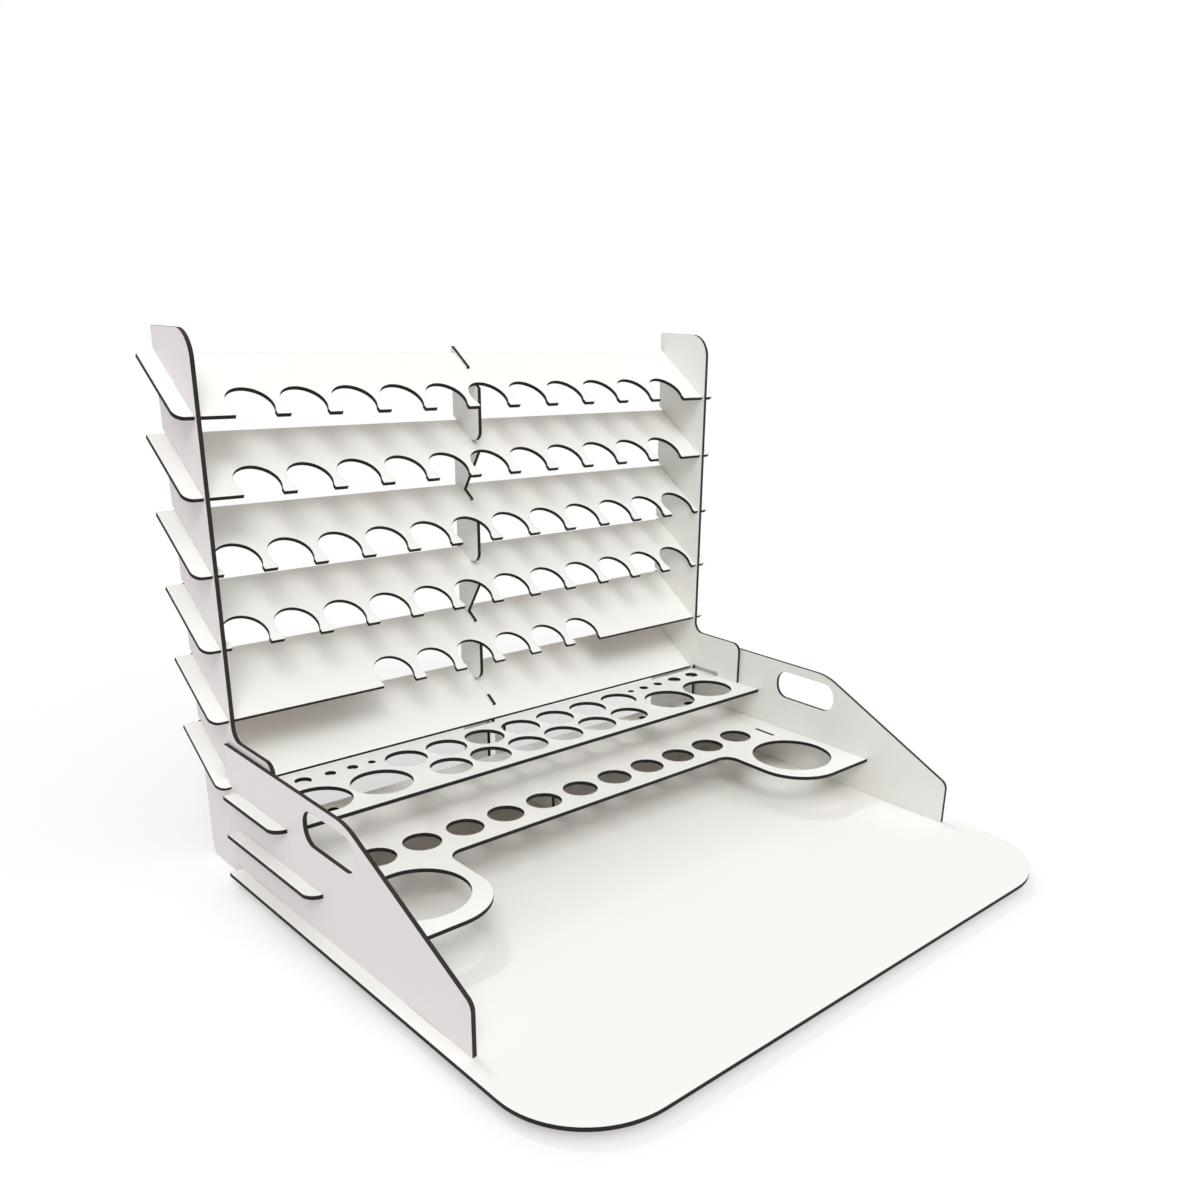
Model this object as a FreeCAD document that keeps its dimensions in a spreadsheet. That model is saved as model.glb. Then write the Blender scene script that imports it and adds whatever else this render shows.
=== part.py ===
"""Desk-top paint rack and work board: 3 mm laminated boards, laser cut and slotted together.

Two units meet at the back edge of the work board. The front unit is the work board with two
low side panels that carry a hole tray and a front tray. The rear unit is a rack of six sloping
shelves halved into two tall side panels, with ribs under the middle of the shelves.

Frame: X to the right, Y to the back, Z up. The origin is at the middle of the footprint, on the
surface that the organizer stands on. Millimetres and degrees.
"""
import FreeCAD, Part
import Sketcher
import os

# ------------------------------------------------------------------ driving sizes
# Depths are measured back from the work board's front edge, heights up from its underside,
# and lengths along a shelf forward from its back edge.
SIZES = {
    "board": "3",                   # thickness of every board
    "fit_gap": "0.1",               # play on each side of a board in its slot
    "cut_over": "12",               # how far an open slot's cutter runs past the edge
    # work board
    "base_width": "500",
    "base_depth": "400",
    "base_corner": "64",            # radius of the two front corners
    "base_lift": "8",               # height of the board over the table
    "side_margin": "10",            # from the board's side edge to the low panel's outer face
    # low side panels
    "low_depth": "308",
    "low_overlap": "10",            # how far they reach behind the work board
    "low_top": "100",
    "level_length": "174.5",        # level part of the top edge, behind the sloping part
    "ramp_front_height": "38",
    "ramp_back_round": "50",
    "ramp_front_round": "8",
    "hand_back_margin": "118",      # from the panel's back edge to the hand slot
    "hand_top_margin": "8",
    "hand_length": "67",
    "hand_height": "25.5",
    "hand_flat": "2.5",             # straight part of the hand slot's ends
    "tenon_length": "40",
    "front_tenon_margin": "28",     # from the panel's front edge
    "back_tenon_margin": "20",      # from the work board's back edge
    # tall side panels
    "rack_depth": "60",
    "top_margin": "17.5",           # tall panel above the highest shelf's back edge
    "tall_round": "19",
    "elbow_round": "10",
    "hook_rise": "5",               # top of the hook over the low panel's top
    "hook_reach": "60",             # how far it reaches over the hole tray
    "hook_round": "8",
    "hook_land": "26",              # length of the hook that rests on the tray
    "hook_relief": "4",             # height of the relief behind the land
    "heel_round": "8",
    # shelves
    "shelf_slope": "34.5",
    "shelf_overhang": "10",         # past the low panels' outer faces
    "shelf_back_inset": "4.6",      # before the tall panel's back edge
    "shelf_width": "65",            # along the slope
    "low_shelf_height": "104",      # upper back edge of the lowest shelf
    "low_shelf_trim": "2",          # how much narrower the lowest shelf is
    "shelf_pitch": "52.5",
    "shelf_corner": "7",
    "notch_radius": "16.5",
    "notch_web": "6",
    "notch_inset": "11.5",          # from the shelf's front edge to the notch centre
    "finger_tip_width": "10",       # what is left between two notches at the front edge
    # ribs under the middle of the shelves
    "rib_slot": "20",
    "rib_tip_rise": "1.5",          # how far tips and tenons stand out of a shelf
    "finger_root": "37",            # where an upper finger meets the shelf above
    "finger_tip": "8",              # where it meets the shelf that the rib hooks into
    "top_rib_depth": "36",          # from the tall panels' back edge
    "middle_rib_depth": "30",
    "bottom_rib_depth": "29",
    "rib_round": "8",
    # foot under the middle of the lowest shelf
    "foot_depth": "37",
    "foot_neck_drop": "46.5",       # from the lowest shelf's back edge down to the foot's neck
    "foot_tenon_start": "39",
    "foot_tenon_length": "11.5",
    # trays
    "tray_back_gap": "1",
    "tab_overhang": "10",           # past the low panels' outer faces
    "tab_inset": "3",
    "tab_round": "10",
    "hole_tray_top": "66.5",
    "hole_tray_depth": "85",
    "pot_radius": "16.5",
    "pot_web": "4.3",
    "pot_jar_room": "36",
    "back_pot_inset": "23.7",
    "front_pot_inset": "58.9",
    "jar_radius": "23.2",
    "jar_web": "3.6",
    "jar_inset": "52",
    "jar_side_room": "37",
    "brush_inset": "13.5",
    "front_tray_top": "36",
    "front_tray_depth": "130.5",
    "cup_radius": "14.25",
    "cup_front_room": "27.1",
    "cup_side_room": "45",
    "lobe_width": "90",
    "lobe_depth": "86",
    "lobe_round": "41",
    "lobe_inner_round": "12",
    "water_radius": "35",
    "water_front_room": "49.5",
    "slit_side_room": "21",
    "slit_front_room": "5.5",
    "slit_length": "22.5",
    # rib under the middle of the trays
    "tray_rib_overlap": "12",       # how far it reaches behind the trays
    "tray_rib_length": "80",
    "tray_rib_headroom": "3.5",
}
BRUSH_HOLES = {                     # distance from the low panel and radius of each brush hole
    "brush_1": ("100.5", "3"),
    "brush_2": ("84", "4.25"),
    "brush_3": ("65.5", "4.25"),
    "brush_4": ("43.3", "6.25"),
    "brush_5": ("19.6", "6.25"),
}
SHELF_COUNT = 6
HALVED_SHELVES = (1, 3, 5)          # shelves with a slot for a rib

doc = FreeCAD.newDocument("Workstation_Organizer")
sheet = doc.addObject("Spreadsheet::Sheet", "Sizes")
for name, (room, radius) in BRUSH_HOLES.items():
    SIZES[name + "_side_room"] = room
    SIZES[name + "_radius"] = radius
for row, (alias, value) in enumerate(SIZES.items(), start=1):
    sheet.set(f"A{row}", alias)
    sheet.set(f"B{row}", value)
    sheet.setAlias(f"B{row}", alias)
doc.recompute()


def bind(text):
    """The text with every size's name turned into a reference to its cell."""
    words = []
    word = ""
    for letter in text + " ":
        if letter.isalnum() or letter == "_":
            word += letter
            continue
        words.append("Sizes." + word if word in SIZES else word)
        words.append(letter)
        word = ""
    return "".join(words).strip()


def evaluate(text):
    """The present value of an expression."""
    return float(sheet.evalExpression(bind(text)))


# ------------------------------------------------------------------ shared places
LOW_OUTER = "(base_width / 2 - side_margin)"            # outer face of a low panel
LOW_INNER = f"({LOW_OUTER} - board)"                    # it lies against the tall panel
TALL_INNER = f"({LOW_INNER} - board)"
LOW_BACK = "(base_depth + low_overlap)"
LOW_FRONT = f"({LOW_BACK} - low_depth)"
HAND_FRONT = f"({LOW_BACK} - hand_back_margin - hand_length)"
HAND_TOP = "(low_top - hand_top_margin)"
FRONT_TENON = f"({LOW_FRONT} + front_tenon_margin)"
BACK_TENON = "(base_depth - back_tenon_margin - tenon_length)"
RACK_FRONT = "(base_depth + fit_gap)"                   # the rack stands behind the board
RACK_BACK = "(base_depth + rack_depth)"
SHELF_BACK = f"({RACK_BACK} - shelf_back_inset)"
LOW_SHELF_WIDTH = "(shelf_width - low_shelf_trim)"
HALVING = "(shelf_width / 2)"
NOTCH_PITCH = "(2 * notch_radius + notch_web)"
FULL_ROW = f"floor((2 * {TALL_INNER} + fit_gap) / {NOTCH_PITCH})"
SHORT_ROW = f"({FULL_ROW} - 1)"
HALF_ROW = f"floor({FULL_ROW} / 2)"
NOTCH_ROWS = (SHORT_ROW, SHORT_ROW, FULL_ROW, FULL_ROW, HALF_ROW)       # from the highest shelf
TRAY_BACK = "(base_depth - tray_back_gap)"
HOLE_TRAY_FRONT = f"({TRAY_BACK} - hole_tray_depth)"
FRONT_TRAY_FRONT = f"({TRAY_BACK} - front_tray_depth)"
LOBE_FRONT = f"({FRONT_TRAY_FRONT} - lobe_depth)"
POT_PITCH = "(2 * pot_radius + pot_web)"                # bottles in the front tray line up with them
OUTER_JAR = f"({LOW_INNER} - jar_side_room)"
INNER_JAR = f"({OUTER_JAR} - 2 * jar_radius - jar_web)"
POTS = f"(2 * floor(({INNER_JAR} - pot_jar_room) / {POT_PITCH}) + 1)"
CUPS = f"(2 * floor(({LOW_INNER} - cup_side_room) / {POT_PITCH}) + 1)"


def shelf_height(number):
    """Height of a shelf's upper back edge, counted from the highest shelf down."""
    return f"(low_shelf_height + {SHELF_COUNT - number} * shelf_pitch)"


def shelf_point(number, along, rise):
    """Depth and height of a point along a shelf's slope and above its upper face."""
    depth = f"{SHELF_BACK} - ({along}) * cos(shelf_slope) - ({rise}) * sin(shelf_slope)"
    height = f"{shelf_height(number)} - ({along}) * sin(shelf_slope) + ({rise}) * cos(shelf_slope)"
    return depth, height


def shelf_point_at(number, depth, rise):
    """The point at a given depth that lies a rise above a shelf's upper face."""
    fall = f"({SHELF_BACK} - ({depth})) * tan(shelf_slope)"
    return depth, f"{shelf_height(number)} - {fall} + ({rise}) / cos(shelf_slope)"


# ------------------------------------------------------------------ drawing and cutting
def new_body(label):
    body = doc.addObject("PartDesign::Body", label)
    body.Label = label
    return body


def new_sketch(body, name):
    sketch = body.newObject("Sketcher::SketchObject", name)
    plane = next(f for f in body.Origin.OriginFeatures if f.Role == "XY_Plane")
    sketch.AttachmentSupport = [(plane, "")]
    sketch.MapMode = "FlatFace"
    return sketch


def place_point(sketch, geometry, end, x, y):
    """Bind one point of the sketch to a pair of expressions."""
    drawn = sketch.getPoint(geometry, end)
    for kind, value, place in (("DistanceX", x, drawn.x), ("DistanceY", y, drawn.y)):
        index = sketch.addConstraint(Sketcher.Constraint(kind, geometry, end, place))
        sketch.setExpression(f"Constraints[{index}]", bind(value))


def draw_outline(sketch, corners):
    """Closed outline of straight edges through the corners, pairs of expressions."""
    count = len(corners)
    start = sketch.GeometryCount
    spots = [FreeCAD.Vector(evaluate(x), evaluate(y), 0) for x, y in corners]
    for step in range(count):
        sketch.addGeometry(Part.LineSegment(spots[step], spots[(step + 1) % count]), False)
    for step in range(count):
        after = start + (step + 1) % count
        sketch.addConstraint(Sketcher.Constraint("Coincident", start + step, 2, after, 1))
    for step, (x, y) in enumerate(corners):
        place_point(sketch, start + step, 1, x, y)


def draw_circle(sketch, x, y, radius):
    centre = FreeCAD.Vector(evaluate(x), evaluate(y), 0)
    size = evaluate(radius)
    circle = Part.Circle(centre, FreeCAD.Vector(0, 0, 1), size)
    index = sketch.addGeometry(circle, False)
    place_point(sketch, index, 3, x, y)
    limit = sketch.addConstraint(Sketcher.Constraint("Radius", index, size))
    sketch.setExpression(f"Constraints[{limit}]", bind(radius))


def pad_outline(body, corners, upward=True):
    """The board itself: an outline padded to the thickness of the board."""
    sketch = new_sketch(body, "outline")
    draw_outline(sketch, corners)
    pad = body.newObject("PartDesign::Pad", "sheet")
    pad.Profile = sketch
    pad.setExpression("Length", bind("board"))
    pad.Reversed = not upward
    doc.recompute()
    return sketch


def cut_through(body, sketch, name):
    """Cut a sketch's shapes right through the board."""
    before = body.Shape.Volume
    pocket = body.newObject("PartDesign::Pocket", name)
    pocket.Profile = sketch
    pocket.Type = "ThroughAll"
    pocket.Midplane = True
    doc.recompute()
    if body.Shape.Volume >= before:
        raise RuntimeError(f"{body.Label}: {name} cuts nothing")
    return pocket


def rectangle(x_low, x_high, y_low, y_high):
    return [(x_low, y_low), (x_high, y_low), (x_high, y_high), (x_low, y_high)]


def cut_rectangles(body, name, rectangles):
    sketch = new_sketch(body, name + "_sketch")
    for sides in rectangles:
        draw_outline(sketch, rectangle(*sides))
    return cut_through(body, sketch, name)


def cut_circles(body, name, circles):
    sketch = new_sketch(body, name + "_sketch")
    for circle in circles:
        draw_circle(sketch, *circle)
    return cut_through(body, sketch, name)


def repeat(body, features, axis, spacing, count):
    """Repeat cuts at an even spacing along one axis of the board."""
    pattern = body.newObject("PartDesign::LinearPattern", features[0].Name + "_row")
    pattern.Originals = features
    pattern.Direction = (features[0].Profile[0], [axis])
    pattern.setExpression("Length", bind(f"({spacing}) * (({count}) - 1)"))
    pattern.setExpression("Occurrences", bind(count))
    body.Tip = pattern
    doc.recompute()
    return pattern


def round_corners(body, sketch, corners, radius):
    """Round the board's upright edges at some of a sketch's corners."""
    tip = body.Tip
    points = [sketch.Geometry[corner].StartPoint for corner in corners]
    names = []
    for number, edge in enumerate(tip.Shape.Edges, start=1):
        ends = [vertex.Point for vertex in edge.Vertexes]
        if len(ends) != 2 or abs(ends[0].z - ends[1].z) < 1:
            continue
        for point in points:
            if all(abs(end.x - point.x) < 0.01 and abs(end.y - point.y) < 0.01 for end in ends):
                names.append(f"Edge{number}")
    if len(names) != len(points):
        raise RuntimeError(f"{body.Label}: found {len(names)} of {len(points)} corners")
    fillet = body.newObject("PartDesign::Fillet", "rounds")
    fillet.Base = (tip, names)
    fillet.setExpression("Radius", bind(radius))
    doc.recompute()
    return fillet


# ------------------------------------------------------------------ standing boards in place
def stand_upright(body, side):
    """Turn a board on edge: its own x runs to the back and its own y up."""
    body.Placement = FreeCAD.Placement(
        FreeCAD.Vector(0, 0, 0), FreeCAD.Rotation(FreeCAD.Vector(1, 1, 1), 120))
    body.setExpression("Placement.Base.x", bind(side))
    body.setExpression("Placement.Base.y", bind(f"-{RACK_BACK} / 2"))
    body.setExpression("Placement.Base.z", bind("base_lift"))


def lay_flat(body, height):
    """Lay a board flat with its underside at a height."""
    body.setExpression("Placement.Base.y", bind(f"-{RACK_BACK} / 2"))
    body.setExpression("Placement.Base.z", bind(f"base_lift + {height}"))


# ------------------------------------------------------------------ front unit
def make_base_board():
    body = new_body("base_board")
    half = "base_width / 2"
    outline = pad_outline(body, rectangle(f"-{half}", half, "0", "base_depth"))
    slots = []
    for low, high in ((f"-{LOW_OUTER}", f"-{LOW_INNER}"), (LOW_INNER, LOW_OUTER)):
        for start in (FRONT_TENON, BACK_TENON):
            slots.append((f"{low} - fit_gap", f"{high} + fit_gap",
                          f"{start} - fit_gap", f"{start} + tenon_length + fit_gap"))
    cut_rectangles(body, "tenon_slots", slots)
    round_corners(body, outline, (0, 1), "base_corner")
    lay_flat(body, "0")
    return body


def make_low_panel(label, side):
    """Side panel on two tenons, with a hand slot, a mortise per tray and a slot for a shelf."""
    body = new_body(label)
    foot = "-base_lift"
    outline = pad_outline(body, [
        (LOW_FRONT, "board"),
        (FRONT_TENON, "board"),
        (FRONT_TENON, foot),
        (f"{FRONT_TENON} + tenon_length", foot),
        (f"{FRONT_TENON} + tenon_length", "board"),
        (BACK_TENON, "board"),
        (BACK_TENON, foot),
        (f"{BACK_TENON} + tenon_length", foot),
        (f"{BACK_TENON} + tenon_length", "board"),
        (LOW_BACK, "board"),
        (LOW_BACK, "low_top"),
        (f"{LOW_BACK} - level_length", "low_top"),
        (LOW_FRONT, "ramp_front_height"),
    ])
    ramp_front = outline.GeometryCount - 1
    ramp_back = ramp_front - 1
    mortises = []
    for top, front in (("hole_tray_top", HOLE_TRAY_FRONT), ("front_tray_top", FRONT_TRAY_FRONT)):
        mortises.append((f"{front} + tab_inset - fit_gap", f"{TRAY_BACK} - tab_inset + fit_gap",
                         f"{top} - board - fit_gap", f"{top} + fit_gap"))
    cut_rectangles(body, "tray_mortises", mortises)
    hand = cut_rectangles(body, "hand_slot", [
        (HAND_FRONT, f"{HAND_FRONT} + hand_length", f"{HAND_TOP} - hand_height", HAND_TOP)])
    low_shelf = new_sketch(body, "low_shelf_slot_sketch")
    draw_outline(low_shelf, [
        shelf_point(SHELF_COUNT, f"{LOW_SHELF_WIDTH} + fit_gap", "fit_gap"),
        shelf_point(SHELF_COUNT, f"{LOW_SHELF_WIDTH} + fit_gap", "-board - fit_gap"),
        shelf_point(SHELF_COUNT, "0", "-board - fit_gap"),
        shelf_point(SHELF_COUNT, "0", "fit_gap"),
    ])
    cut_through(body, low_shelf, "low_shelf_slot")
    round_corners(body, hand.Profile[0], (0, 1, 2, 3), "(hand_height - hand_flat) / 2")
    round_corners(body, outline, (ramp_back,), "ramp_back_round")
    round_corners(body, outline, (ramp_front,), "ramp_front_round")
    stand_upright(body, side)
    return body


def make_tray(label, top, front, front_corners):
    """A tray between the low panels, with a tab through each of them."""
    body = new_body(label)
    inner = f"({LOW_INNER} - fit_gap)"
    tip = f"({LOW_OUTER} + tab_overhang)"
    tab_front = f"{front} + tab_inset"
    tab_back = f"{TRAY_BACK} - tab_inset"
    right = front_corners + [
        (inner, tab_front),
        (tip, tab_front),
        (tip, tab_back),
        (inner, tab_back),
        (inner, TRAY_BACK),
    ]
    left = [(f"-({x})", y) for x, y in reversed(right)]
    outline = pad_outline(body, right + left)
    tab_corner = len(front_corners) + 1
    round_corners(body, outline, (tab_corner, 2 * len(right) - 1 - tab_corner), "tab_round")
    lay_flat(body, f"{top} - board")
    return body, outline


def make_hole_tray():
    """The upper tray: two rows of pots, two jars at each end and a row of brushes behind them."""
    front_corners = [(f"{LOW_INNER} - fit_gap", HOLE_TRAY_FRONT)]
    body, _ = make_tray("hole_tray", "hole_tray_top", HOLE_TRAY_FRONT, front_corners)
    for name, inset, count in (("back_pots", "back_pot_inset", POTS),
                               ("front_pots", "front_pot_inset", f"({POTS} - 1)")):
        pot = cut_circles(body, name, [
            (f"-{POT_PITCH} * ({count} - 1) / 2", f"{TRAY_BACK} - {inset}", "pot_radius")])
        repeat(body, [pot], "H_Axis", POT_PITCH, count)
    cut_circles(body, "jar_holes", [
        (f"{sign}{place}", f"{TRAY_BACK} - jar_inset", "jar_radius")
        for sign in ("-", "") for place in (INNER_JAR, OUTER_JAR)])
    cut_brush_holes(body)
    return body


def cut_brush_holes(body):
    cut_circles(body, "brush_holes", [
        (f"{sign}({LOW_INNER} - {name}_side_room)", f"{TRAY_BACK} - brush_inset", f"{name}_radius")
        for sign in ("-", "") for name in BRUSH_HOLES])


def make_front_tray():
    """The lower tray widens at each end into a lobe with a hole for a water pot."""
    lobe_side = f"{LOW_INNER} - lobe_width"
    front_corners = [
        (lobe_side, FRONT_TRAY_FRONT),
        (lobe_side, LOBE_FRONT),
        (f"{LOW_INNER} - fit_gap", LOBE_FRONT),
    ]
    body, outline = make_tray("front_tray", "front_tray_top", FRONT_TRAY_FRONT, front_corners)
    cup = cut_circles(body, "cup_holes", [
        (f"-{POT_PITCH} * ({CUPS} - 1) / 2", f"{FRONT_TRAY_FRONT} + cup_front_room", "cup_radius")])
    repeat(body, [cup], "H_Axis", POT_PITCH, CUPS)
    cut_circles(body, "water_holes", [
        (f"{sign}({LOW_INNER} - lobe_width / 2)", f"{LOBE_FRONT} + water_front_room", "water_radius")
        for sign in ("-", "")])
    slit = f"({LOW_INNER} - slit_side_room)"
    slit_front = f"{FRONT_TRAY_FRONT} + slit_front_room"
    cut_rectangles(body, "slits", [
        (f"{sign}{slit} - board / 2", f"{sign}{slit} + board / 2",
         slit_front, f"{slit_front} + slit_length") for sign in ("-", "")])
    cut_brush_holes(body)
    last = outline.GeometryCount - 1
    round_corners(body, outline, (0, last), "lobe_inner_round")
    round_corners(body, outline, (1, last - 1), "lobe_round")
    return body


def make_tray_rib():
    """Upright under the middle of the front tray, with a finger behind both trays."""
    body = new_body("tray_centre_rib")
    back = f"({TRAY_BACK} + tray_rib_overlap)"
    front = f"{back} - tray_rib_length"
    under = "front_tray_top - board"
    top = "hole_tray_top - board - tray_rib_headroom"
    pad_outline(body, [
        (front, "board"),
        (back, "board"),
        (back, top),
        (f"{TRAY_BACK} + fit_gap", top),
        (f"{TRAY_BACK} + fit_gap", under),
        (front, under),
    ])
    stand_upright(body, "-board / 2")
    return body


# ------------------------------------------------------------------ rear unit
def make_tall_panel(label, side):
    """Side panel with a slot per shelf and a hook that rests on the hole tray."""
    body = new_body(label)
    top = f"{shelf_height(1)} + top_margin"
    elbow = "low_top + hook_rise"
    land = "hole_tray_top"
    hook_front = f"{RACK_FRONT} - hook_reach"
    outline = pad_outline(body, [
        (RACK_FRONT, "-base_lift"),
        (RACK_BACK, "-base_lift"),
        (RACK_BACK, top),
        (RACK_FRONT, top),
        (RACK_FRONT, elbow),
        (hook_front, elbow),
        (hook_front, land),
        (f"{hook_front} + hook_land", land),
        (f"{hook_front} + hook_land", f"{land} + hook_relief"),
        (RACK_FRONT, f"{land} + hook_relief"),
    ])
    slot = new_sketch(body, "shelf_slot_sketch")
    draw_outline(slot, [
        shelf_point(1, f"{HALVING} + fit_gap", "fit_gap"),
        shelf_point(1, f"{HALVING} + fit_gap", "-board - fit_gap"),
        shelf_point(1, "-cut_over", "-board - fit_gap"),
        shelf_point(1, "-cut_over", "fit_gap"),
    ])
    pocket = cut_through(body, slot, "shelf_slot")
    slots = repeat(body, [pocket], "V_Axis", "shelf_pitch", str(SHELF_COUNT))
    slots.Reversed = True
    doc.recompute()
    for corner, radius in ((1, "heel_round"), (3, "tall_round"), (4, "elbow_round"), (5, "hook_round")):
        round_corners(body, outline, (corner,), radius)
    stand_upright(body, side)
    return body


def make_shelf(number):
    """A sloping shelf, halved over both tall panels, with bottle notches in its front edge."""
    body = new_body(f"shelf_{number}")
    lowest = number == SHELF_COUNT
    width = LOW_SHELF_WIDTH if lowest else "shelf_width"
    half = f"({LOW_OUTER} + shelf_overhang)"
    outline = pad_outline(body, rectangle(f"-{half}", half, f"-{width}", "0"), upward=False)
    cut_rectangles(body, "panel_slots", [
        (f"{low} - fit_gap", f"{high} + fit_gap", f"-{width} - cut_over", f"-{HALVING} + fit_gap")
        for low, high in ((f"-{LOW_INNER}", f"-{TALL_INNER}"), (TALL_INNER, LOW_INNER))])
    if number in HALVED_SHELVES:
        cut_rectangles(body, "rib_slot", [
            ("-board / 2 - fit_gap", "board / 2 + fit_gap", "-rib_slot", "cut_over")])
    if lowest:
        cut_rectangles(body, "foot_mortise", [
            ("-board / 2 - fit_gap", "board / 2 + fit_gap",
             "-foot_tenon_start - foot_tenon_length - fit_gap", "-foot_tenon_start + fit_gap")])
    else:
        cut_notches(body, NOTCH_ROWS[number - 1])
    round_corners(body, outline, (0, 1), "shelf_corner")
    body.Placement = FreeCAD.Placement(
        FreeCAD.Vector(0, 0, 0), FreeCAD.Rotation(FreeCAD.Vector(1, 0, 0), evaluate("shelf_slope")))
    body.setExpression("Placement.Base.y", bind(f"{SHELF_BACK} - {RACK_BACK} / 2"))
    body.setExpression("Placement.Base.z", bind(f"base_lift + {shelf_height(number)}"))
    body.setExpression("Placement.Rotation.Angle", bind("shelf_slope"))
    return body


def cut_notches(body, count):
    """A row of round notches whose mouths narrow slightly at the shelf's front edge."""
    first = f"(-{NOTCH_PITCH} * ({count} - 1) / 2)"
    centre = "notch_inset - shelf_width"
    mouth = f"({NOTCH_PITCH} - finger_tip_width)"
    seat = cut_circles(body, "notch_seat", [(first, centre, "notch_radius")])
    opening = cut_rectangles(body, "notch_mouth", [
        (f"{first} - {mouth} / 2", f"{first} + {mouth} / 2", "-shelf_width - cut_over", centre)])
    repeat(body, [seat, opening], "H_Axis", NOTCH_PITCH, count)


def make_top_rib():
    """Rib between the two highest shelves, hooked through the slot in the highest one."""
    body = new_body("centre_rib_top")
    below = "-board - fit_gap"
    front = f"{RACK_BACK} - top_rib_depth"
    outline = pad_outline(body, [
        shelf_point_at(1, RACK_BACK, "rib_tip_rise"),
        shelf_point(1, "rib_slot - fit_gap", "rib_tip_rise"),
        shelf_point(1, "rib_slot - fit_gap", below),
        shelf_point_at(1, front, below),
        shelf_point_at(2, front, "fit_gap"),
        shelf_point_at(2, RACK_BACK, "fit_gap"),
    ])
    lower_front = outline.GeometryCount - 2
    round_corners(body, outline, (lower_front,), "rib_round")
    stand_upright(body, "-board / 2")
    return body


def make_hooked_rib(label, hooked, depth):
    """Rib with a finger up to the shelf above and one down to the shelf below its hook."""
    body = new_body(label)
    below = "-board - fit_gap"
    front = f"{RACK_BACK} - {depth}"
    outline = pad_outline(body, [
        shelf_point_at(hooked - 1, RACK_BACK, below),
        shelf_point(hooked - 1, "finger_root", below),
        shelf_point(hooked, "finger_tip", "rib_tip_rise"),
        shelf_point(hooked, "rib_slot - fit_gap", "rib_tip_rise"),
        shelf_point(hooked, "rib_slot - fit_gap", below),
        shelf_point_at(hooked, front, below),
        shelf_point_at(hooked + 1, front, "fit_gap"),
        shelf_point_at(hooked + 1, RACK_BACK, "fit_gap"),
    ])
    lower_front = outline.GeometryCount - 2
    round_corners(body, outline, (lower_front,), "rib_round")
    stand_upright(body, "-board / 2")
    return body


def make_rack_foot():
    """Post on the table whose tenon carries the middle of the lowest shelf."""
    body = new_body("rack_centre_foot")
    below = "-board - fit_gap"
    front = f"{RACK_BACK} - foot_depth"
    neck = "low_shelf_height - foot_neck_drop"
    tenon_end = "foot_tenon_start + foot_tenon_length"
    nose = shelf_point(SHELF_COUNT, tenon_end, below)
    pad_outline(body, [
        (front, "-base_lift"),
        (RACK_BACK, "-base_lift"),
        shelf_point_at(SHELF_COUNT, RACK_BACK, below),
        shelf_point(SHELF_COUNT, "foot_tenon_start", below),
        shelf_point(SHELF_COUNT, "foot_tenon_start", "rib_tip_rise"),
        shelf_point(SHELF_COUNT, tenon_end, "rib_tip_rise"),
        nose,
        (nose[0], neck),
        (front, neck),
    ])
    stand_upright(body, "-board / 2")
    return body


# ------------------------------------------------------------------ build and write
pieces = [
    make_base_board(),
    make_low_panel("low_panel_left", f"-{LOW_OUTER}"),
    make_low_panel("low_panel_right", LOW_INNER),
    make_hole_tray(),
    make_front_tray(),
    make_tray_rib(),
    make_tall_panel("tall_panel_left", f"-{LOW_INNER}"),
    make_tall_panel("tall_panel_right", TALL_INNER),
    make_top_rib(),
    make_hooked_rib("centre_rib_middle", 3, "middle_rib_depth"),
    make_hooked_rib("centre_rib_bottom", 5, "bottom_rib_depth"),
    make_rack_foot(),
]
pieces += [make_shelf(number) for number in range(1, SHELF_COUNT + 1)]
doc.recompute()

for item in doc.Objects:
    if "Invalid" in item.State or "Error" in item.State:
        raise RuntimeError(f"{item.Label} did not build: {item.State}")
for piece in pieces:
    if piece.Shape.isNull() or not piece.Shape.isValid() or len(piece.Shape.Solids) != 1:
        raise RuntimeError(f"{piece.Label} is not one valid solid")

os.makedirs("parts", exist_ok=True)
for piece in pieces:
    piece.Shape.exportStep(f"parts/{piece.Label}.step")
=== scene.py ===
"""Finish and studio for a desk-top paint rack made of slotted, laser-cut white board."""
import math
from dataclasses import dataclass
from typing import NamedTuple

import bpy
from mathutils import Color, Matrix, Vector

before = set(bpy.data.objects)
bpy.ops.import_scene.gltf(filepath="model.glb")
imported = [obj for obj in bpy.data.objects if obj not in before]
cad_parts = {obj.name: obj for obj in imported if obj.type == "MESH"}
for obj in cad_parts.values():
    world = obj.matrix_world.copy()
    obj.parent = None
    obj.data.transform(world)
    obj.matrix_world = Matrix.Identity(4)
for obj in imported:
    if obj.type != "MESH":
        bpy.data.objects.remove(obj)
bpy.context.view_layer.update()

bl_info = {
    "name": "Paint rack finish",
    "version": (1, 0, 0),
    "blender": (4, 5, 0),
    "location": "3D View > Sidebar > Paint rack",
    "description": "White laminate, charred cut edges and a plain studio for a slotted paint rack",
    "category": "Material",
}

MILLIMETRE = 0.001


@dataclass
class BoardGroup:
    """Boards with the same look."""

    nodes: tuple
    first_seed: int                     # for the mottle, and one more for each next board
    raw_underside: bool = False
    # painted shade: when set, the outer faces take a darker, pinkish white, as they look in shade
    painted_shade_outside: bool = False
    burn: float = 0.0                   # on top of what any cut edge has


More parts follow.
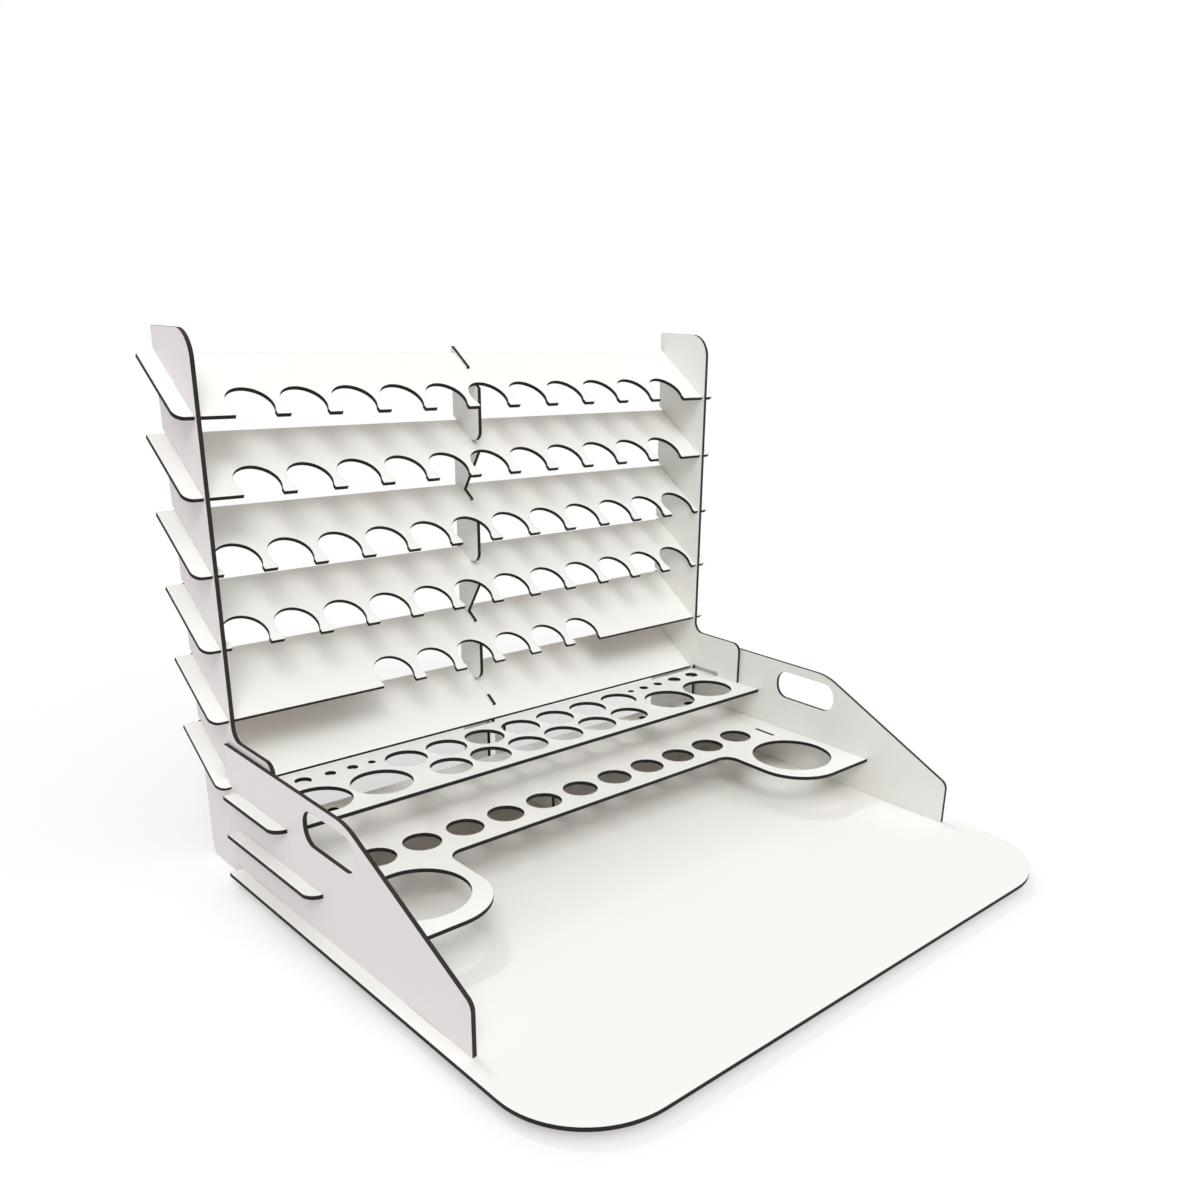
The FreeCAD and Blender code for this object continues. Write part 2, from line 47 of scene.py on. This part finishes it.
WORK_SURFACES = BoardGroup(("base_board", "hole_tray", "front_tray"), 1, raw_underside=True, burn=0.3)
# the outer faces of the left panels get the painted shade
LEFT_PANELS = BoardGroup(("low_panel_left", "tall_panel_left"), 11, painted_shade_outside=True)
RIGHT_PANELS = BoardGroup(("low_panel_right", "tall_panel_right"), 13)
SHELVES = BoardGroup(tuple(f"shelf_{number}" for number in range(1, 7)), 21,
                     raw_underside=True, burn=0.3)
UPRIGHTS = BoardGroup(("centre_rib_top", "centre_rib_middle", "centre_rib_bottom",
                       "rack_centre_foot", "tray_centre_rib"), 31, burn=0.15)


class Mottle(NamedTuple):
    """A noise, with its cells to a metre."""

    cells: float
    detail: float
    roughness: float


CLOUDS = Mottle(11.0, 3.0, 0.55)
SCUFFS = Mottle(26.0, 1.0, 0.4)
PATCHES = Mottle(55.0, 2.0, 0.5)
HAZE = Mottle(120.0, 2.0, 0.6)
FIBRES = Mottle(420.0, 3.0, 0.7)
STRIAE = Mottle(1500.0, 2.0, 0.6)
GRAIN = Mottle(1600.0, 1.0, 0.5)
STREAKS = Mottle(1.0, 2.0, 0.6)
STREAK_STRETCH = (9.0, 34.0, 20.0)      # streaks' cells to a metre along X, Y and Z
MEAN_NOISE = 0.5
SEED_STEP = (0.37, 0.53, 0.71)          # from one board's mottle to the next, in metres

# Cosine of the angle between a normal and the board's, under which the face is a cut edge
EDGE_FACING = 0.5
CORNER_SAMPLES = 6

# Laminate
CLOUD_TINT = 0.6                        # share of the clouds in the tint, the rest is streaks
TINT_RANGE = (0.36, 0.64)
SCUFF_RANGE = (0.0, 0.006)
SCUFFED_CLOUDS = (0.5, 0.62)
CLOUD_ROUGHNESS = 0.16
SCUFF_ROUGHNESS = 0.14
GRAIN_RELIEF = 0.15                     # as a share of the relief on a cut edge

# Bare fibre and smoke
FIBRE_RANGE = (0.3, 0.7)
SMOKED_TURN = (0.0, 0.22)               # how far the rounded normal turns away at a corner
LEAST_SMOKE = 0.35

# Char
RIM_BURN = 0.3
STRIA_BURN = 0.35
PATCH_BURN = 0.55
BURN_RANGE = (0.25, 0.85)

# Studio
FLOOR_REACH = 8.0                       # from the middle to each side, in metres
FLOOR_SHADE = (0.82, 0.82, 0.82, 1.0)   # for the light that it throws back at the object
PLAIN_WHITE = (1.0, 1.0, 1.0, 1.0)
SENSOR_WIDTH = 36.0                     # in millimetres


# ------------------------------------------------------------------ shader sums
class Value:
    """One output of a shader node. A Python sum on it adds Math nodes."""

    def __init__(self, tree, socket):
        self.tree = tree
        self.socket = socket

    def maths(self, operation, *numbers):
        return self.tree.node("ShaderNodeMath", {"operation": operation},
                              dict(enumerate(numbers))).value("Value")

    def __add__(self, other):
        return self.maths("ADD", self, other)

    def __radd__(self, other):
        return self.maths("ADD", other, self)

    def __sub__(self, other):
        return self.maths("SUBTRACT", self, other)

    def __rsub__(self, other):
        return self.maths("SUBTRACT", other, self)

    def __mul__(self, other):
        return self.maths("MULTIPLY", self, other)

    def __rmul__(self, other):
        return self.maths("MULTIPLY", other, self)

    def __abs__(self):
        return self.maths("ABSOLUTE", self)

    def below(self, limit):
        """1 where this is less than the limit, and 0 elsewhere."""
        return self.maths("LESS_THAN", self, limit)

    def ramp(self, low, high):
        """0 at low, 1 at high, eased and held at both ends."""
        settings = {"interpolation_type": "SMOOTHSTEP"}
        values = {"Value": self, "From Min": low, "From Max": high}
        return self.tree.node("ShaderNodeMapRange", settings, values).value("Result")


class Node:
    """A shader node whose outputs are asked for by name or number."""

    def __init__(self, tree, node):
        self.tree = tree
        self.node = node

    def value(self, output):
        return Value(self.tree, self.node.outputs[output])


class Tree:
    """The node tree of one material or world."""

    def __init__(self, owner):
        owner.use_nodes = True
        self.nodes = owner.node_tree.nodes
        self.links = owner.node_tree.links
        self.nodes.clear()

    def node(self, kind, settings=None, values=None):
        """Add a node, then its settings, then numbers or links for its sockets."""
        made = self.nodes.new(kind)
        for name, setting in (settings or {}).items():
            setattr(made, name, setting)
        for key, given in (values or {}).items():
            if isinstance(given, Value):
                self.links.new(given.socket, made.inputs[key])
            else:
                made.inputs[key].default_value = given
        return Node(self, made)

    def vector(self, operation, *vectors):
        return self.node("ShaderNodeVectorMath", {"operation": operation}, dict(enumerate(vectors)))

    def blend_colours(self, factor, first, second):
        """The first colour where the factor is 0, and the second where it is 1."""
        factor_socket, first_socket, second_socket, result = 0, 6, 7, 2
        values = {factor_socket: factor, first_socket: first, second_socket: second}
        return self.node("ShaderNodeMix", {"data_type": "RGBA"}, values).value(result)

    def noise(self, place, mottle):
        return self.node("ShaderNodeTexNoise", None, {
            "Vector": place, "Scale": mottle.cells, "Detail": mottle.detail,
            "Roughness": mottle.roughness}).value("Fac")


def linear(shade):
    """A colour picked on the screen, as the shader wants it."""
    return (*Color(shade).from_srgb_to_scene_linear(), 1.0)


# ------------------------------------------------------------------ settings
class BoardFinish(bpy.types.PropertyGroup):
    """How the laminated board and its cut edges look."""

    cool_white: bpy.props.FloatVectorProperty(
        name="Cool white", description="Laminate where it is coolest", subtype="COLOR_GAMMA",
        size=3, min=0, max=1, default=(0.955, 0.966, 0.945))
    warm_white: bpy.props.FloatVectorProperty(
        name="Warm white", description="Laminate where it is warmest", subtype="COLOR_GAMMA",
        size=3, min=0, max=1, default=(0.966, 0.962, 0.945))
    # painted shade: a darker, pinkish white for the outer faces of the left panels
    painted_shade_tint: bpy.props.FloatVectorProperty(
        name="PaintedShade", description="Laminate of the outer faces on the left", subtype="COLOR_GAMMA",
        size=3, min=0, max=1, default=(0.955, 0.925, 0.932))
    smoke: bpy.props.FloatVectorProperty(
        name="Smoke stain", description="Stain on the laminate along a cut", subtype="COLOR_GAMMA",
        size=3, min=0, max=1, default=(0.55, 0.465, 0.435))
    char_brown: bpy.props.FloatVectorProperty(
        name="Brown char", description="Cut edge where it is burnt least", subtype="COLOR_GAMMA",
        size=3, min=0, max=1, default=(0.20, 0.152, 0.138))
    char_black: bpy.props.FloatVectorProperty(
        name="Black char", description="Cut edge where it is burnt most", subtype="COLOR_GAMMA",
        size=3, min=0, max=1, default=(0.05, 0.04, 0.036))
    raw_pale: bpy.props.FloatVectorProperty(
        name="Pale fibre", description="Bare underside where it is lightest", subtype="COLOR_GAMMA",
        size=3, min=0, max=1, default=(0.60, 0.48, 0.38))
    raw_deep: bpy.props.FloatVectorProperty(
        name="Deep fibre", description="Bare underside where it is darkest", subtype="COLOR_GAMMA",
        size=3, min=0, max=1, default=(0.50, 0.39, 0.30))
    edge_round: bpy.props.FloatProperty(
        name="Edge round", description="Softened corner between laminate and cut edge",
        subtype="DISTANCE", unit="LENGTH", min=0.0, default=0.6 * MILLIMETRE)
    relief_depth: bpy.props.FloatProperty(
        name="Relief depth", description="Depth of the grain and of the striae on a cut edge",
        subtype="DISTANCE", unit="LENGTH", min=0.0, default=0.06 * MILLIMETRE)
    relief_strength: bpy.props.FloatProperty(
        name="Relief strength", description="How much the relief shows", subtype="FACTOR",
        min=0, max=1, default=0.5)
    laminate_roughness: bpy.props.FloatProperty(
        name="Laminate roughness", description="Roughness of the laminate", subtype="FACTOR",
        min=0, max=1, default=0.5)
    char_roughness: bpy.props.FloatProperty(
        name="Char roughness", description="Roughness of the cut edge", subtype="FACTOR",
        min=0, max=1, default=0.9)


class StudioLight(bpy.types.PropertyGroup):
    """The studio's light, and how white its floor is."""

    sky_strength: bpy.props.FloatProperty(
        name="Sky", description="Even light from all round", min=0, default=0.37)
    key_strength: bpy.props.FloatProperty(
        name="Key", description="Soft light over the front left corner", min=0, default=0.94)
    key_spread: bpy.props.FloatProperty(
        name="Key spread", description="Width of the key light in the sky", subtype="ANGLE",
        unit="ROTATION", min=0, default=math.radians(25))
    key_side: bpy.props.FloatVectorProperty(
        name="Key side", description="Direction from the rack to the key light", subtype="XYZ",
        size=3, default=(-0.50, -0.75, 1.00))
    top_strength: bpy.props.FloatProperty(
        name="Top light", description="Wide light over the front edge", min=0, default=1.12)
    top_spread: bpy.props.FloatProperty(
        name="Top spread", description="Width of the top light in the sky", subtype="ANGLE",
        unit="ROTATION", min=0, default=math.radians(80))
    top_side: bpy.props.FloatVectorProperty(
        name="Top side", description="Direction from the rack to the top light", subtype="XYZ",
        size=3, default=(-0.10, -0.50, 1.00))
    back_strength: bpy.props.FloatProperty(
        name="Back light", description="Light from over the rack", min=0, default=0.40)
    back_spread: bpy.props.FloatProperty(
        name="Back spread", description="Width of the back light in the sky", subtype="ANGLE",
        unit="ROTATION", min=0, default=math.radians(6))
    back_side: bpy.props.FloatVectorProperty(
        name="Back side", description="Direction from the rack to the back light", subtype="XYZ",
        size=3, default=(0.05, 0.75, 1.15))
    floor_white: bpy.props.FloatProperty(
        name="Floor white", description="Share of plain white that hides the floor's shadows",
        subtype="FACTOR", min=0, max=1, default=0.42)


class StudioCamera(bpy.types.PropertyGroup):
    """Place, aim and lens of the camera over the front left corner."""

    place: bpy.props.FloatVectorProperty(
        name="Place", description="Where the camera stands", subtype="TRANSLATION",
        unit="LENGTH", size=3, default=(-0.52979, -0.56863, 0.41085))
    yaw: bpy.props.FloatProperty(
        name="Yaw", description="Turn to the right from straight ahead", subtype="ANGLE",
        unit="ROTATION", default=math.radians(44.538))
    pitch: bpy.props.FloatProperty(
        name="Pitch", description="Tilt above the horizon", subtype="ANGLE",
        unit="ROTATION", default=math.radians(-20.342))
    roll: bpy.props.FloatProperty(
        name="Roll", description="Turn about the line of sight", subtype="ANGLE",
        unit="ROTATION", default=math.radians(1.942))
    lens: bpy.props.FloatProperty(
        name="Lens", description="Focal length in millimetres", min=1, default=33.0381)
    shift: bpy.props.FloatVectorProperty(
        name="Shift", description="Shift of the lens to the right and up, in sensor widths",
        size=2, default=(-0.0541, 0.1004))


# ------------------------------------------------------------------ laminated board
def board_plane(node):
    """Direction of a board's thickness, and how far its two faces lie along it."""
    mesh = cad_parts[node].data
    areas = {}
    for polygon in mesh.polygons:
        normal = polygon.normal
        strongest = max(range(3), key=lambda axis: abs(normal[axis]))
        if normal[strongest] < 0:
            normal = -normal
        key = tuple(round(part, 3) for part in normal)
        total, _ = areas.get(key, (0.0, None))
        areas[key] = (total + polygon.area, normal.copy())
    across = max(areas.values(), key=lambda entry: entry[0])[1].normalized()
    heights = [across.dot(vertex.co) for vertex in mesh.vertices]
    return across, min(heights), max(heights)


class BoardTree(Tree):
    """The node tree of one board's material, with what its layers share."""

    def __init__(self, material, node, seed):
        super().__init__(material)
        across, low, high = board_plane(node)
        where = self.node("ShaderNodeTexCoord")
        place = where.value("Object")
        facing = self.vector("DOT_PRODUCT", where.value("Normal"), across).value("Value")
        self.cut = abs(facing).below(EDGE_FACING)
        self.behind = facing.below(-EDGE_FACING)

        depth = self.vector("DOT_PRODUCT", place, across).value("Value")
        self.from_middle = abs(depth - (low + high) / 2) * (2 / (high - low))
        shift = tuple(seed * step for step in SEED_STEP)
        self.place = self.vector("ADD", place, shift).value("Vector")
        off_plane = self.node("ShaderNodeVectorMath", {"operation": "SCALE"},
                              {0: tuple(across), "Scale": depth}).value("Vector")
        self.along_cut = self.vector("SUBTRACT", self.place, off_plane).value("Vector")
        self.cloud = self.noise(self.place, CLOUDS)
        self.striae = self.noise(self.along_cut, STRIAE)


def laminate(tree, finish, group):
    """White paper laminate, a little warmer in clouds and streaks."""
    stretched = tree.vector("MULTIPLY", tree.place, STREAK_STRETCH).value("Vector")
    streak = tree.noise(stretched, STREAKS)
    tint = (tree.cloud * CLOUD_TINT + streak * (1 - CLOUD_TINT)).ramp(*TINT_RANGE)
    white = tree.blend_colours(tint, linear(finish.cool_white), linear(finish.warm_white))
    # painted shade: the outer faces of the left panels in a darker, pinkish white
    if group.painted_shade_outside:
        white = tree.blend_colours(tree.behind, white, linear(finish.painted_shade_tint))
    return white


def bare_fibre(tree, finish):
    """Brown fibreboard with no laminate over it."""
    fibre = tree.noise(tree.place, FIBRES).ramp(*FIBRE_RANGE)
    return tree.blend_colours(fibre, linear(finish.raw_pale), linear(finish.raw_deep))


def smoke_along_cuts(tree, rounded):
    """1 where the beam stained the laminate, next to a cut, and 0 away from it."""
    true_normal = tree.node("ShaderNodeNewGeometry").value("True Normal")
    turned = 1 - tree.vector("DOT_PRODUCT", rounded, true_normal).value("Value")
    haze = tree.noise(tree.place, HAZE)
    return turned.ramp(*SMOKED_TURN) * (LEAST_SMOKE + haze * (1 - LEAST_SMOKE))


def char(tree, finish, group):
    """Burnt fibre of a cut edge, darkest at its rims and in patches."""
    patch = tree.noise(tree.place, PATCHES)
    heat = tree.from_middle * RIM_BURN + tree.striae * STRIA_BURN + patch * PATCH_BURN
    burnt = (heat + group.burn).ramp(*BURN_RANGE)
    return tree.blend_colours(burnt, linear(finish.char_brown), linear(finish.char_black))


def board_roughness(tree, finish):
    """Satin laminate with duller scuffs, and dull char."""
    scuff_field = tree.noise(tree.place, SCUFFS)
    scratch = 1 - abs(scuff_field - MEAN_NOISE).ramp(*SCUFF_RANGE)
    scuff = scratch * tree.cloud.ramp(*SCUFFED_CLOUDS)
    clouded = finish.laminate_roughness + (tree.cloud - MEAN_NOISE) * CLOUD_ROUGHNESS
    rough_white = clouded + scuff * SCUFF_ROUGHNESS
    return rough_white + tree.cut * (finish.char_roughness - rough_white)


def board_relief(tree, finish, rounded):
    """Fine grain on the laminate and striae across the cut edges, over rounded corners."""
    grain = tree.noise(tree.place, GRAIN)
    height = grain * GRAIN_RELIEF * (1 - tree.cut) + tree.striae * tree.cut
    return tree.node("ShaderNodeBump", None, {
        "Strength": finish.relief_strength, "Distance": finish.relief_depth,
        "Height": height, "Normal": rounded}).value("Normal")


def finish_board(node, finish, seed, group):
    """White laminate on a board's faces and char on its cut edges."""
    material = bpy.data.materials.new("laminated_" + node)
    tree = BoardTree(material, node, seed)
    rounded = tree.node("ShaderNodeBevel", {"samples": CORNER_SAMPLES},
                        {"Radius": finish.edge_round}).value("Normal")
    white = laminate(tree, finish, group)
    faces = tree.blend_colours(smoke_along_cuts(tree, rounded), white, linear(finish.smoke))
    if group.raw_underside:
        faces = tree.blend_colours(tree.behind, faces, bare_fibre(tree, finish))
    shader = tree.node("ShaderNodeBsdfPrincipled", None, {
        "Base Color": tree.blend_colours(tree.cut, faces, char(tree, finish, group)),
        "Roughness": board_roughness(tree, finish),
        "Normal": board_relief(tree, finish, rounded)})
    tree.node("ShaderNodeOutputMaterial", None, {"Surface": shader.value("BSDF")})

    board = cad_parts[node]
    board.data.materials.clear()
    board.data.materials.append(material)


def finish_boards(context, group):
    """Finish boards of one look, each with a mottle of its own."""
    for seed, node in enumerate(group.nodes, start=group.first_seed):
        finish_board(node, context.scene.board_finish, seed, group)


class PAINTRACK_OT_work_surfaces(bpy.types.Operator):
    """Finish the work board and the two trays"""

    bl_idname = "paintrack.work_surfaces"
    bl_label = "Work board and trays"

    def execute(self, context):
        finish_boards(context, WORK_SURFACES)
        return {"FINISHED"}


class PAINTRACK_OT_side_panels(bpy.types.Operator):
    """Finish the low and the tall side panels"""

    bl_idname = "paintrack.side_panels"
    bl_label = "Side panels"

    def execute(self, context):
        finish_boards(context, LEFT_PANELS)
        finish_boards(context, RIGHT_PANELS)
        return {"FINISHED"}


class PAINTRACK_OT_shelves(bpy.types.Operator):
    """Finish the six sloping shelves"""

    bl_idname = "paintrack.shelves"
    bl_label = "Shelves"

    def execute(self, context):
        finish_boards(context, SHELVES)
        return {"FINISHED"}


class PAINTRACK_OT_uprights(bpy.types.Operator):
    """Finish the ribs and the foot on the centre line"""

    bl_idname = "paintrack.uprights"
    bl_label = "Centre ribs and foot"

    def execute(self, context):
        finish_boards(context, UPRIGHTS)
        return {"FINISHED"}


# ------------------------------------------------------------------ studio
def seen_rays(tree):
    """1 for what the camera sees, straight or in a reflection, and 0 for light on the object."""
    path = tree.node("ShaderNodeLightPath")
    seen = path.value("Is Camera Ray") + path.value("Is Glossy Ray") + path.value("Is Transmission Ray")
    return seen.maths("MINIMUM", seen, 1.0)


def lay_floor(floor_white):
    """A pale floor that is near plain white to the camera, with a faint shadow."""
    reach = FLOOR_REACH
    mesh = bpy.data.meshes.new("floor")
    corners = [(-reach, -reach, 0), (reach, -reach, 0), (reach, reach, 0), (-reach, reach, 0)]
    mesh.from_pydata(corners, [], [(0, 1, 2, 3)])
    floor = bpy.data.objects.new("floor", mesh)
    bpy.context.collection.objects.link(floor)
    material = bpy.data.materials.new("studio_floor")
    tree = Tree(material)
    seen = seen_rays(tree)
    colour = tree.blend_colours(seen, FLOOR_SHADE, PLAIN_WHITE)
    diffuse = tree.node("ShaderNodeBsdfDiffuse", None, {"Color": colour})
    plain = tree.node("ShaderNodeEmission", None, {"Color": PLAIN_WHITE, "Strength": 1.0})
    mixed = tree.node("ShaderNodeMixShader", None, {
        0: seen * floor_white, 1: diffuse.value("BSDF"), 2: plain.value("Emission")})
    tree.node("ShaderNodeOutputMaterial", None, {"Surface": mixed.value("Shader")})
    mesh.materials.append(material)


def light_sky(strength):
    """A sky that is plain white to the camera and lights the object at its own strength."""
    world = bpy.data.worlds.new("studio_sky")
    tree = Tree(world)
    seen = seen_rays(tree)
    level = seen + (1 - seen) * strength
    sky = tree.node("ShaderNodeBackground", None, {"Color": PLAIN_WHITE, "Strength": level})
    tree.node("ShaderNodeOutputWorld", None, {"Surface": sky.value("Background")})
    bpy.context.scene.world = world


def hang_sun(name, strength, spread, side):
    """A lamp that shines from its side of the sky, softer the wider it spreads."""
    lamp = bpy.data.lights.new(name, "SUN")
    lamp.energy = strength
    lamp.angle = spread
    sun = bpy.data.objects.new(name, lamp)
    sun.rotation_mode = "QUATERNION"
    sun.rotation_quaternion = Vector(side).to_track_quat("Z", "Y")
    bpy.context.collection.objects.link(sun)


def place_camera(settings):
    """The camera, aimed by its yaw, pitch and roll."""
    yaw, pitch, roll = settings.yaw, settings.pitch, settings.roll
    ahead = Vector((math.sin(yaw) * math.cos(pitch), math.cos(yaw) * math.cos(pitch), math.sin(pitch)))
    level = Vector((math.cos(yaw), -math.sin(yaw), 0.0))
    upright = level.cross(ahead)
    right = math.cos(roll) * level + math.sin(roll) * upright
    up = math.cos(roll) * upright - math.sin(roll) * level
    data = bpy.data.cameras.new("camera")
    data.sensor_width = SENSOR_WIDTH
    data.lens = settings.lens
    data.shift_x, data.shift_y = settings.shift
    data.clip_start = 10 * MILLIMETRE
    camera = bpy.data.objects.new("camera", data)
    turn = Matrix((right, up, -ahead)).transposed()
    camera.matrix_world = Matrix.Translation(settings.place) @ turn.to_4x4()
    bpy.context.collection.objects.link(camera)
    bpy.context.scene.camera = camera


class PAINTRACK_OT_studio(bpy.types.Operator):
    """Set up the floor, the light and the camera"""

    bl_idname = "paintrack.studio"
    bl_label = "Studio"

    def execute(self, context):
        light = context.scene.studio_light
        lay_floor(light.floor_white)
        light_sky(light.sky_strength)
        hang_sun("key", light.key_strength, light.key_spread, light.key_side)
        hang_sun("top", light.top_strength, light.top_spread, light.top_side)
        hang_sun("back", light.back_strength, light.back_spread, light.back_side)
        place_camera(context.scene.studio_camera)
        context.scene.view_settings.view_transform = "Standard"
        return {"FINISHED"}


SETTINGS = {
    "board_finish": BoardFinish,
    "studio_light": StudioLight,
    "studio_camera": StudioCamera,
}
OPERATORS = (
    PAINTRACK_OT_studio,
    PAINTRACK_OT_work_surfaces,
    PAINTRACK_OT_side_panels,
    PAINTRACK_OT_shelves,
    PAINTRACK_OT_uprights,
)


class PAINTRACK_PT_sidebar(bpy.types.Panel):
    """The finishes and the studio in the sidebar"""

    bl_idname = "PAINTRACK_PT_sidebar"
    bl_label = "Paint rack"
    bl_space_type = "VIEW_3D"
    bl_region_type = "UI"
    bl_category = "Paint rack"

    def draw(self, context):
        for group_name, group in SETTINGS.items():
            for name in group.__annotations__:
                self.layout.prop(getattr(context.scene, group_name), name)
        for operator in OPERATORS:
            self.layout.operator(operator.bl_idname)


CLASSES = tuple(SETTINGS.values()) + OPERATORS + (PAINTRACK_PT_sidebar,)


def register():
    for kind in CLASSES:
        bpy.utils.register_class(kind)
    for name, group in SETTINGS.items():
        setattr(bpy.types.Scene, name, bpy.props.PointerProperty(type=group))


def unregister():
    for name in SETTINGS:
        delattr(bpy.types.Scene, name)
    for kind in reversed(CLASSES):
        bpy.utils.unregister_class(kind)


def main():
    register()
    bpy.ops.paintrack.studio()
    bpy.ops.paintrack.work_surfaces()
    bpy.ops.paintrack.side_panels()
    bpy.ops.paintrack.shelves()
    bpy.ops.paintrack.uprights()


if __name__ == "__main__":
    main()
